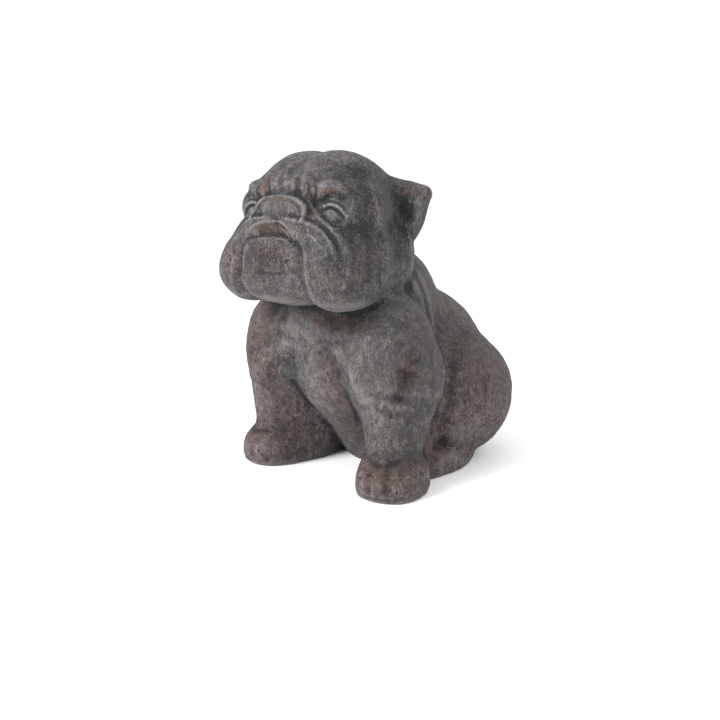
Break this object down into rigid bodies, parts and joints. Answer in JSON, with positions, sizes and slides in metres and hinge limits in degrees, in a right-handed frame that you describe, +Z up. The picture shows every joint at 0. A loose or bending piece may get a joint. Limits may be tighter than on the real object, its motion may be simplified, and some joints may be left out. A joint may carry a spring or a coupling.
{
  "type": "seated bulldog statue",
  "caption": "Stocky bulldog ornament sitting upright on straight forelegs, cast in one piece with folded face, small pricked ears and a flat underside.",
  "frame": {"origin": "centre of the bounding box in X and Y, on the ground under the casting", "axes": "+Z up, the dog faces -Y, its left side is +X"},
  "size_m": [0.267, 0.3542, 0.3608],
  "materials": {
    "weathered_iron": "matt dark grey, dry-brushed pale on the ridges, brown in the hollows, finely pitted"
  },
  "bodies": {
    "root": {"bulldog_casting": "weathered_iron"}
  },
  "joints": []
}
